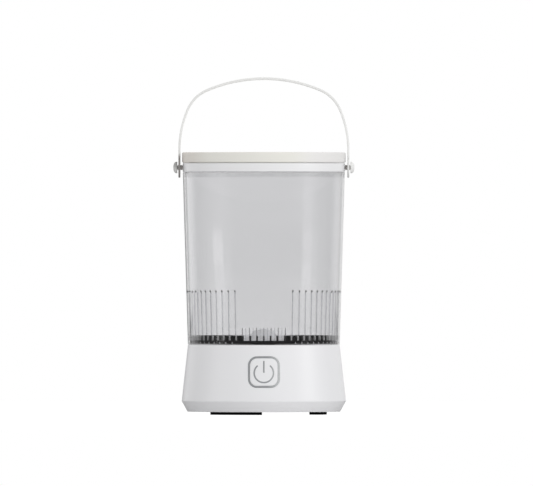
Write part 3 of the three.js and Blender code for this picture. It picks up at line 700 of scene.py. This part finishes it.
# things in a ring, by geometry nodes
def ringTree():
    # copies of the modifier's own mesh about +Z; only the places in or out of the windows are kept
    tree = bpy.data.node_groups.new("ringOfCopies", "GeometryNodeTree")
    for name, kind in (("Geometry", "Geometry"), ("Count", "Int"), ("Height", "Float"), ("Turn", "Float"),
            ("Window", "Float"), ("Reach", "Float"), ("Inside", "Bool"), ("Finish", "Material")):
        tree.interface.new_socket(name, in_out="INPUT", socket_type="NodeSocket" + kind)
    tree.interface.new_socket("Geometry", in_out="OUTPUT", socket_type="NodeSocketGeometry")
    bench = Bench(tree)
    given = bench.add("NodeGroupInput")
    count, turn = given["Count"], given["Turn"]
    index = bench.add("GeometryNodeInputIndex")
    points = bench.add("GeometryNodePoints", {
        "Count": count, "Position": bench.add("ShaderNodeCombineXYZ", {"Z": given["Height"]})})
    place = index + turn
    half = count / 2
    # places counted from the nearer of the front and back
    fromFront = place.maths("PINGPONG", half)
    nearest = fromFront.maths("MINIMUM", half - fromFront)
    within = nearest < given["Window"] + 0.01
    chosen = bench.add("FunctionNodeBooleanMath", {0: within, 1: given["Inside"]}, operation="XNOR")
    near = nearest < given["Reach"]
    keep = bench.add("FunctionNodeBooleanMath", {0: chosen, 1: near}, operation="AND")
    angle = place / count * (2 * pi) - pi / 2
    copies = bench.add("GeometryNodeInstanceOnPoints", {
        "Points": points, "Selection": keep, "Instance": given["Geometry"],
        "Rotation": bench.add("ShaderNodeCombineXYZ", {"Z": angle})})
    solid = bench.add("GeometryNodeRealizeInstances", {"Geometry": copies})
    painted = bench.add("GeometryNodeSetMaterial", {"Geometry": solid, "Material": given["Finish"]})
    bench.feed(tree.nodes.new("NodeGroupOutput").inputs[0], painted)
    return tree


ringNodes = ringTree()


def ringed(name, mesh, count, height, material, window=0.0, inside=False, turn=0.0, reach=999.0):
    # runs the ring tree on a mesh and returns the plain mesh it makes
    carrier = inScene(name + "Carrier", mesh)
    modifier = carrier.modifiers.new("ring", "NODES")
    modifier.node_group = ringNodes
    wanted = {"Count": count, "Height": height, "Turn": turn, "Window": window, "Reach": reach,
              "Inside": inside, "Finish": finish[material]}
    for item in ringNodes.interface.items_tree:
        if item.in_out == "INPUT" and item.name in wanted:
            modifier[item.identifier] = wanted[item.name]
    bpy.context.view_layer.update()
    evaluated = carrier.evaluated_get(bpy.context.evaluated_depsgraph_get())
    made = bpy.data.meshes.new_from_object(evaluated)
    made.name = name
    bpy.data.objects.remove(carrier)
    return made


makePiece("tubWall", tubWallMesh(), "base", "clearWall", ["tub"])
# a window is a number of places about the front and back that a ring leaves out, or keeps when inside
window = {"window": tubLook["windowRibs"]}
inWindow = {"window": tubLook["windowRibs"], "inside": True}
slantFoot = ribLook["longTop"] - ribLook["slope"]
for name, mesh, material, places in (
        ("longRibs", ribMesh(ribLook["longTop"]), "clearRib", window),
        ("shortRibs", ribMesh(ribLook["shortTop"]), "clearRib", inWindow),
        # painted shade: dark lines at the ribs' roots, and midway between ribs in the window
        ("longRibEdgeShades", ribEdgeShadeMesh(slantFoot), "ribEdgeShade", window),
        ("shortRibEdgeShades", ribEdgeShadeMesh(ribLook["shortTop"]), "shortEdgeShade", inWindow),
        ("midRibEdgeShades", ribEdgeShadeMesh(ribLook["shortTop"]), "ribEdgeShade", {**inWindow, "turn": 0.5}),
        # painted shade: dark slabs at the ribs' slanted tops, darkest at the sides
        ("ribTopShades", ribTopShadeMesh(*ribLook["top"]), "ribTopShade", {**window, "reach": 10.5}),
        ("ribKnuckleShades", ribTopShadeMesh(*ribLook["knuckle"]), "ribKnuckleShade", {"window": 10.5}),
        # painted highlight: milky bars at the ribs' feet, in front of the black ring
        ("ribHeelHighlights", ribHeelHighlightMesh(*ribLook["heel"]), "milky", {"window": 3.5}),
        ("sideHeelHighlights", ribHeelHighlightMesh(*ribLook["sideHeel"]), "milky", {"window": 10.5}),
        ("bandNotches", notchMesh(), "milky", {"window": 4.4, "turn": 0.5})):
    made = ringed(name, mesh, tubLook["ribs"], ribLook["bottom"] * mm, material, **places)
    makePiece(name, made, "base", None)
print("tub done")


# black ring under the ribs
ringLook = {"bandTop": 74.0, "inner": 67.0, "wallOuter": 70.9, "window": 3.0,
            "teeth": 2.0, "toothWidth": 1.3, "slot": 1.1, "lift": 0.5, "root": 0.5, "bulge": 0.08}


def joinedMesh(name, meshes):
    shape = bmesh.new()
    for mesh in meshes:
        shape.from_mesh(mesh)
    made = bpy.data.meshes.new(name)
    shape.to_mesh(made)
    shape.free()
    return made


def gasketMesh():
    look = ringLook
    inner, outer, top = look["inner"] * mm, gasketHigh.x, look["bandTop"] * mm
    under = gasketLow.z + look["lift"] * mm
    band = turnedMesh("band", rounded([
        (inner, under, 0.3 * mm), (outer, under, 0.4 * mm), (outer, top, 0.5 * mm),
        (inner, top, 0.3 * mm)], 3))
    # a block fills the space between two ribs, less half a slot at each end
    far, slot = look["wallOuter"] * mm, look["slot"] * mm / 2
    low, high = -look["root"] * mm, gasketHigh.z - top
    slant = tan(pi / tubLook["ribs"])
    plan = ((inner, -inner * slant + slot), (far, -far * slant + slot), (far + look["bulge"] * mm, 0),
            (far, far * slant - slot), (inner, inner * slant - slot))
    block = ringsMesh("block", [[(x, y, z) for x, y in plan] for z in (low, high)], capped=True)
    blocks = ringed("blocks", block, tubLook["ribs"], top, "blackRubber", window=look["window"], turn=0.5)
    tooth = barMesh("tooth", [(z, inner, far, look["toothWidth"] * mm / 2) for z in (low, high)])
    teeth = ringed("teeth", tooth, tubLook["ribs"], top, "blackRubber", window=look["teeth"], inside=True)
    return joinedMesh("tubGasket", [band, blocks, teeth])


makePiece("tubGasket", gasketMesh(), "base", "blackRubber", ["tub_gasket"])
print("gasket done")


# collar, lid
collarLook = {"inner": 75.4, "skirt": 237.6, "shoulder": 242.5, "fillet": 0.6, "gap": 0.3}


def collarMesh():
    inner, f = collarLook["inner"] * mm, collarLook["fillet"] * mm
    skirtOuter = tubOuter(collarLook["skirt"] * mm) - (tubLook["wall"] + collarLook["gap"]) * mm
    shoulder, skirtTop = collarLook["shoulder"] * mm, (collarLook["shoulder"] - 0.02) * mm
    rim = turnedMesh("rimCollar", rounded([
        (inner, shoulder, 0), (collarHigh.x, shoulder, f), (collarHigh.x, collarHigh.z, f),
        (inner, collarHigh.z, f)]), 256)
    skirt = turnedMesh("rimSkirt", rounded([
        (inner, collarLow.z, 0.4 * mm), (skirtOuter, collarLow.z, 0.4 * mm), (skirtOuter, skirtTop, 0),
        (inner, skirtTop, 0)]), 256)
    return rim, skirt


lidLook = {"edge": 1.3, "wall": 3.0, "roof": 2.6, "lipInset": 0.8, "lipDrop": 0.65}


def lidMesh():
    look = lidLook
    foot, top, roof = lidLow.z, lidHigh.z, lidHigh.z - look["roof"] * mm
    reach, inner = lidHigh.x, lidHigh.x - look["wall"] * mm
    lip, lipFoot = reach - look["lipInset"] * mm, foot - look["lipDrop"] * mm
    return turnedMesh("lidCover", rounded([
        (0, top, 0), (reach - 12 * mm, top, 0), (reach, top, look["edge"] * mm), (reach, foot, 0.3 * mm),
        (lip, foot, 0), (lip, lipFoot, 0.2 * mm), (inner, lipFoot, 0.2 * mm), (inner, roof, 0.8 * mm),
        (0, roof, 0)], 6), 256)


plugLook = {"skirt": 73.4, "thick": 2.2, "grooveLow": 247.0, "grooveHigh": 250.0, "groove": 1.1}


def plugMesh():
    look = plugLook
    skirt = look["skirt"] * mm
    deep, inner = skirt - look["groove"] * mm, skirt - look["thick"] * mm
    grooveLow, grooveHigh, under, foot = look["grooveLow"] * mm, look["grooveHigh"] * mm, lidLow.z, plugLow.z
    return turnedMesh("lidPlug", rounded([
        (0, plugHigh.z, 0), (plugHigh.x, plugHigh.z, 0.3 * mm), (plugHigh.x, under, 0.3 * mm),
        (skirt, under, 0), (skirt, grooveHigh, 0.2 * mm), (deep, grooveHigh, 0), (deep, grooveLow, 0),
        (skirt, grooveLow, 0.2 * mm), (skirt, foot, 0.6 * mm), (inner, foot, 0.6 * mm),
        (inner, under, 0.8 * mm), (0, under, 0)], 4))


def sealMesh():
    low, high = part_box("lid_seal")
    root = (plugLook["skirt"] - plugLook["groove"] + 0.3) * mm
    tip, neck, waist = high.x, high.x - 1.2 * mm, high.x - 0.9 * mm
    return turnedMesh("lidSeal", rounded([
        (root, low.z, 0), (neck, low.z, 0.3 * mm), (tip, low.z + 0.5 * mm, 0.35 * mm),
        (waist, (low.z + high.z) / 2, 0.3 * mm), (tip, high.z - 0.5 * mm, 0.35 * mm),
        (neck, high.z, 0.3 * mm), (root, high.z, 0)], 3))


rimMesh, skirtMesh = collarMesh()
makePiece("rimCollar", rimMesh, "base", "rimWhite", ["rim_collar"])
makePiece("rimSkirt", skirtMesh, "base", "clearSkirt", ["rim_collar"])
makePiece("lidCover", lidMesh(), "lid", "lidCream", ["lid_cover"])
makePiece("lidPlug", plugMesh(), "lid", "rimWhite", ["lid_plug"])
makePiece("lidSeal", sealMesh(), "lid", "silicone", ["lid_seal"])
print("lid and collar done")


# bail handle
bailLook = {
    "crownRadius": 144.0, "crownSweep": 23.3, "shoulderRadius": 36.5, "shoulderSweep": 43.2,
    "legRadius": 102.0, "width": 14.0, "eye": 10.2, "crownThick": 2.6, "eyeThick": 2.0, "fillet": 14.0,
    "pinHole": 2.85, "edge": 0.5, "neck": 9.6,
}


def bailLine():
    # the strap's centreline from the crown down one side: (x, z, angle from straight up)
    look = bailLook
    x, z, angle = 0.0, strapHigh.z / mm - look["crownThick"] / 2, 0.0
    legSweep = 90 - look["crownSweep"] - look["shoulderSweep"]
    line = [(x, z, angle)]
    for radius, sweep, steps in ((look["crownRadius"], look["crownSweep"], 18),
            (look["shoulderRadius"], look["shoulderSweep"], 24),
            (look["legRadius"], legSweep, 12)):
        cx, cz, start = x - radius * sin(angle), z - radius * cos(angle), angle
        for k in range(1, steps + 1):
            angle = start + radians(sweep) * k / steps
            x, z = cx + radius * sin(angle), cz + radius * cos(angle)
            line.append((x, z, angle))
    return line


def bailHalfWidth(z):
    # half the strap's width at a height, where it runs into the round eye through two fillets
    look = bailLook
    pivot, half, eye, fillet = pivotHeight / mm, look["width"] / 2, look["eye"], look["fillet"]
    rise = sqrt((eye + fillet) ** 2 - (half + fillet) ** 2)
    up = z - pivot
    if up >= rise:
        return half
    if up > eye / (eye + fillet) * rise:
        return half + fillet - sqrt(max(fillet ** 2 - (rise - up) ** 2, 0))
    return sqrt(max(eye ** 2 - up ** 2, 0))


def bailSection(x, z, angle):
    # a flat rounded section across the strap, in millimetres
    look = bailLook
    share = max(0.0, (z - pivotHeight / mm) / (strapHigh.z / mm - pivotHeight / mm))
    thick = (look["eyeThick"] + (look["crownThick"] - look["eyeThick"]) * share) / 2
    half = bailHalfWidth(z)
    edge = min(look["edge"], thick * 0.9)
    corners = [(-half, -thick, edge), (half, -thick, edge), (half, thick, edge), (-half, thick, edge)]
    return [Vector((x + up * sin(angle), across, z + up * cos(angle))) * mm
            for across, up in rounded(corners, 3)]


def strapMesh():
    # the arch, down to just above the two eyes
    side = bailLine()
    x, z, angle = side[-1]
    eyeTop = pivotHeight / mm + bailLook["neck"]
    side += [(x, z + (eyeTop - z) * k / 10, angle) for k in range(1, 11)]
    line = [(-px, pz, -a) for px, pz, a in reversed(side[1:])] + side
    return ringsMesh("strap", [bailSection(*place) for place in line], capped=True), x


def eyeMesh(leg):
    # one eye: a plate whose outline is the strap's foot and a round end, with the pin's hole
    look = bailLook
    pivot, thick, edge, hole = pivotHeight / mm, look["eyeThick"] / 2, look["edge"], look["pinHole"]
    foot = bailHalfWidth(pivot + look["neck"])
    angles = anglesRound(72)

    def reachAt(angle):
        # straight above the eye the outline widens into the strap's foot
        limit = look["neck"] / cos(angle) if cos(angle) > 0 else inf
        return limit if abs(sin(angle)) * limit <= foot else look["eye"]

    def ring(reaches, out, grow=0.0):
        return [Vector((leg + out, (r + grow) * sin(a), pivot + (r + grow) * cos(a))) * mm
                for a, r in zip(angles, reaches)]

    outline, bore = [reachAt(a) for a in angles], [hole] * len(angles)
    return ringsMesh("eye", [
        ring(bore, -thick + 0.2), ring(bore, -thick, 0.2), ring(outline, -thick, -edge),
        ring(outline, -thick + edge), ring(outline, thick - edge), ring(outline, thick, -edge),
        ring(bore, thick, 0.2), ring(bore, thick - 0.2)])


arch, legReach = strapMesh()
handleMesh = joinedMesh("bailStrap", [arch, eyeMesh(legReach), eyeMesh(-legReach)])
makePiece("bailStrap", handleMesh, "handle", "handleWhite", ["handle_strap"], sharp=40)

pinLook = {"neck": 2.55, "shank": 1.4, "tip": 1.6, "head": 5.75, "capBore": 1.9}
pinLow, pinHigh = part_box("pivot_pin_right")


def pinMesh(side):
    # an axle with a shank at each end, its neck slightly waisted
    start, face = collarHigh.x + 0.3 * mm, capLow.x - 0.3 * mm
    neck, shank, tip = pinLook["neck"] * mm, pinLook["shank"] * mm, pinLook["tip"] * mm
    waist = neck - 0.3 * mm
    line = rounded([
        (0, pinLow.x, 0), (shank, pinLow.x, 0.2 * mm), (shank, start, 0), (neck, start, 0.2 * mm),
        (neck, start + 1.2 * mm, 0.1 * mm), (waist, start + 1.5 * mm, 0.1 * mm),
        (waist, face - 1 * mm, 0.1 * mm), (neck, face - 0.7 * mm, 0.1 * mm), (neck, face, 0.2 * mm),
        (tip, face, 0), (tip, pinHigh.x, 0.2 * mm), (0, pinHigh.x, 0)], 3)
    return turnedMesh("pin", [(r, side * h) for r, h in line], 48, "X", (0, 0, pivotHeight))


def capMesh(side):
    # a domed head with a soft rim and a small flat at its crown
    radius, bore, face, end = pinLook["head"] * mm, pinLook["capBore"] * mm, capLow.x, capHigh.x
    seat, rim = pinHigh.x + 0.3 * mm, face + 0.9 * mm
    line = [(0, seat), (bore, seat), (bore, face), (radius - 0.3 * mm, face), (radius, face + 0.3 * mm)]
    for k in range(12):
        a = pi / 2 * k / 12
        line.append((radius * cos(a) ** 0.9, rim + (end - rim) * sin(a)))
    line.append((0.0, end))
    return turnedMesh("cap", [(r, side * h) for r, h in line], 64, "X", (0, 0, pivotHeight))


for sideName, side in (("Right", 1), ("Left", -1)):
    node = sideName.lower()
    makePiece("pivotPin" + sideName, pinMesh(side), "base", "pinSteel", ["pivot_pin_" + node])
    makePiece("pivotCap" + sideName, capMesh(side), "base", "capWhite", ["pivot_cap_" + node])
print("handle done")


# feet, pulsator
footLook = {"inner": 51.5, "outer": 63.0, "halfAngle": 28.0, "edge": 0.5, "steps": 40}


def footMesh(name, turn):
    # a pad swept round +Z to both sides of its middle
    look = footLook
    low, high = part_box("foot_right")
    edge, half, steps = look["edge"] * mm, look["halfAngle"], look["steps"]
    line = rounded([(look["inner"] * mm, low.z, edge), (look["outer"] * mm, low.z, edge),
            (look["outer"] * mm, high.z, 0), (look["inner"] * mm, high.z, 0)], 3)
    # angles are counted from the front, so +X is at 90 degrees
    start = 90 + turn - half
    angles = [radians(start + 2 * half * k / steps) for k in range(steps + 1)]
    return ringsMesh(name, [turned(line, angle) for angle in angles], capped=True)


for name, node, turn in (("footRight", "foot_right", 0), ("footBackLeft", "foot_back_left", 120),
        ("footFrontLeft", "foot_front_left", 240)):
    makePiece(name, footMesh(name, turn), "base", "blackRubber", [node])

pulsatorLook = {
    "rim": 57.0, "underside": 72.0, "rimTop": 75.0, "slopeFoot": 24.0, "slopeTop": 14.0,
    "hub": 9.6, "hubTop": 84.0,
    "seatRadius": 6.3, "seat": 79.7, "screw": 2.0, "bore": 4.3, "boreTop": 74.3,
    "vanes": 6, "vaneTop": 79.4, "vaneThick": 4.4, "vaneStart": 9.5, "vaneInset": 3.0, "vaneRoot": 1.5,
}
# half of a vane's section as shares of its half width and its height
vaneSection = [(1.15, 0), (1.0, 0.35), (0.8, 0.75), (0.45, 0.95)]


def pulsatorMesh():
    look = pulsatorLook
    rim, under, rimTop, seat = look["rim"], look["underside"], look["rimTop"], look["seat"]
    bore, boreTop, screw, hollow = look["bore"], look["boreTop"], look["screw"], look["seatRadius"]
    disc = turnedMesh("disc", rounded(inMetres([
        (bore, under, 0), (rim - 1, under, 0.5), (rim, under + 1.6, 0.6), (rim - 1.2, rimTop, 0.5),
        (look["slopeFoot"], rimTop + 1, 4), (look["slopeTop"], rimTop + 3, 3),
        (look["hub"], look["hubTop"], 0.8),
        (hollow, look["hubTop"], 0.3), (hollow, seat, 0), (screw, seat, 0), (screw, boreTop, 0),
        (bore, boreTop, 0)]), 4), 128)
    # one vane along +X: sections from the hub to the rim, leaning over slightly to a soft crest
    section = [(-a, b) for a, b in vaneSection] + [(0, 1)] + vaneSection[::-1]
    start, foot = look["vaneStart"], rimTop - look["vaneRoot"]
    rings = []
    for k in range(17):
        t = k / 16
        x = start + (rim - look["vaneInset"] - start) * t
        crest = look["vaneTop"] - 0.8 * t - 2.2 * max(0, (t - 0.8) / 0.2) ** 2
        half, lift = look["vaneThick"] / 2 * (1 - 0.25 * t), crest - foot
        rings.append([Vector((x, half * a, foot + lift * b)) * mm for a, b in section])
    vane = ringsMesh("vane", rings, capped=True)
    vanes = ringed("vanes", vane, look["vanes"], 0.0, "drumGrey", window=99.0, inside=True)
    return joinedMesh("pulsatorDisc", [disc, vanes])


makePiece("pulsatorDisc", pulsatorMesh(), "pulsator", "drumGrey", ["pulsator"])
print("feet and pulsator done")


# finishes of the frame's own pieces
carried = {
    "shellWhite": ["bottom_cover"],
    "drumGrey": ["pulsator_cap", "drive_gear"],
    "blackRubber": ["shaft_seal"],
    "steel": ["drive_shaft", "motor_rotor", "motor_can", "motor_bracket", "lower_bearing", "upper_bearing"]
        + [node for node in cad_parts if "_screw" in node],
    "brass": ["motor_pinion"],
    "boardGreen": ["control_board"],
    "darkPlastic": ["tact_switch", "motor_end_bell", "bearing_housing", "dc_inlet"],
    "leadRed": ["supply_lead"],
    "leadBlack": ["motor_lead"],
}
for name, members in carried.items():
    for node in members:
        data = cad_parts[node].data
        for k in range(len(data.materials)):
            data.materials[k] = finish[name]
        if not data.materials:
            data.materials.append(finish[name])
print("carried pieces finished")


# floor, light, camera
studio = {
    "floorRadius": 1.6, "floorTone": 0.30, "floorGlow": 1.15, "sky": 0.985,
    # what the gloss sees
    "dark": 0.05, "left": 1.0, "right": 0.75, "above": 0.8, "card": 0.06, "sliver": 0.9,
    "distance": 20.0, "frameWidth": 0.533, "across": 2.65 * mm, "height": 171.5 * mm,
}


def floorDisc():
    edge, tone = Vector((studio["floorRadius"], 0)), studio["floorTone"]
    corners = [turned([edge], angle)[0] for angle in anglesRound(96)]
    mesh = bpy.data.meshes.new("floor")
    mesh.from_pydata(corners, [], [tuple(range(len(corners)))])
    material, bench, shader, place = newFinish("floorPaper")
    paper = bench.mix(noiseOf(bench, place, 3.0), grey(tone), grey(tone * 1.04))
    bench.fill(shader, {"Base Color": paper, "Roughness": 0.9})
    # the paper itself is lit to white, and throws only its softer tone back on the object
    seen = bench.add("ShaderNodeLightPath", out="Is Camera Ray")
    lit = bench.add("ShaderNodeEmission", {"Color": grey(1), "Strength": studio["floorGlow"]})
    blended(bench, seen * 0.9, Wire(bench, shader.outputs[0]), lit)
    mesh.materials.append(material)
    floor = inScene("floor", mesh)
    floor.visible_shadow = False  # so that the low fill under the base reaches its undercut


def studioWorld():
    # white backdrop, an even soft sky for the matt light, and for the gloss a darker front
    world = bpy.data.worlds.new("studio")
    scene.world = world
    world.use_nodes = True
    bench = Bench(world.node_tree)
    path = bench.add("ShaderNodeLightPath", out="Is Camera Ray")
    way = bench.split(bench.add("ShaderNodeTexCoord", out="Generated"))
    x, y, z = way["X"], way["Y"], way["Z"]
    behind = y.band(0.35, 0.75)
    side = x.band(-0.1, 0.1, studio["left"], studio["right"])
    # in the backdrop, a dark card left of the middle and a dark sliver straight behind
    card = x.band(-0.46, -0.34) * x.band(0.0, 0.08, 1.0, 0.0) * (1 - studio["card"])
    sliver = y.band(0.955, 0.975) * x.band(-0.02, 0.02, 1.0, 0.0) * studio["sliver"]
    glossy = studio["dark"] + behind * side * (1 - card) * (1 - sliver) + z.band(0.35, 0.8) * studio["above"]
    level = path + path["Is Diffuse Ray"] * studio["sky"] + path["Is Glossy Ray"] * glossy
    bench.fill(world.node_tree.nodes["Background"], {"Color": grey(1), "Strength": level})


def softBox(name, lights, azimuth, distance, height, width, tall, strength, aim, only=None):
    # an area light for the matt or the glossy look; azimuth 0 is in front and 90 is on the right
    light = bpy.data.lights.new(name, "AREA")
    light.shape = "RECTANGLE"
    light.size, light.size_y = width, tall
    light.energy = strength
    lamp = inScene(name, light)
    a = radians(azimuth)
    lamp.location = (distance * sin(a), -distance * cos(a), height)
    towards = Vector((0, 0, aim)) - lamp.location
    lamp.rotation_euler = towards.to_track_quat("-Z", "Y").to_euler()
    lamp.visible_camera = False
    lamp.visible_glossy = lights == "gloss"
    lamp.visible_diffuse = lights == "matt"
    if only is not None:
        lamp.light_linking.receiver_collection = only


def studioCamera():
    data = bpy.data.cameras.new("camera")
    data.type = "PERSP"
    data.sensor_width = 36.0
    data.lens = data.sensor_width * studio["distance"] / studio["frameWidth"]
    data.clip_start, data.clip_end = 1.0, 200.0
    camera = inScene("camera", data)
    camera.location = (studio["across"], -studio["distance"], studio["height"])
    camera.rotation_euler = (pi / 2, 0, 0)
    scene.camera = camera


floorDisc()
studioWorld()
outside = bpy.data.collections.new("opaqueOutside")
for name in ("baseShell", "buttonBezel", "powerButton", "symbolArc", "symbolBar", "rimCollar", "lidCover"):
    outside.objects.link(bpy.data.objects[name])
# name, what it lights, azimuth, distance, height, width, height of the box, strength, height aimed at;
# the two strips shine only on the opaque outside, so that the tub doesn't show them twice
for row in (
        ("keyLight", "matt", 55, 1.5, 0.14, 0.9, 0.5, 6.4, 0.15),
        ("frontFill", "matt", -40, 1.5, 0.14, 0.9, 0.5, 1.7, 0.15),
        ("underFill", "matt", -2, 0.65, -0.85, 0.3, 0.3, 2.6, 0.02),
        ("stripRight", "gloss", 68, 3.0, 0.78, 1.1, 0.30, 8.4, 0.78, outside),
        ("stripLeft", "gloss", -62, 3.0, 0.78, 1.5, 0.30, 2.4, 0.78, outside),
        ("lowStrip", "gloss", 70, 1.2, 0.095, 0.62, 0.19, 0.14, 0.095),
        ("lowStrip", "gloss", 66, 1.2, 0.12, 0.30, 0.15, 0.08, 0.12),
        ("lowStrip", "gloss", -68, 1.2, 0.095, 0.90, 0.19, 0.16, 0.095),
        ("lowStrip", "gloss", -70, 1.2, 0.14, 0.36, 0.11, 0.17, 0.14)):
    softBox(*row)
studioCamera()
scene.view_settings.view_transform = "Standard"
scene.cycles.transparent_max_bounces = 64
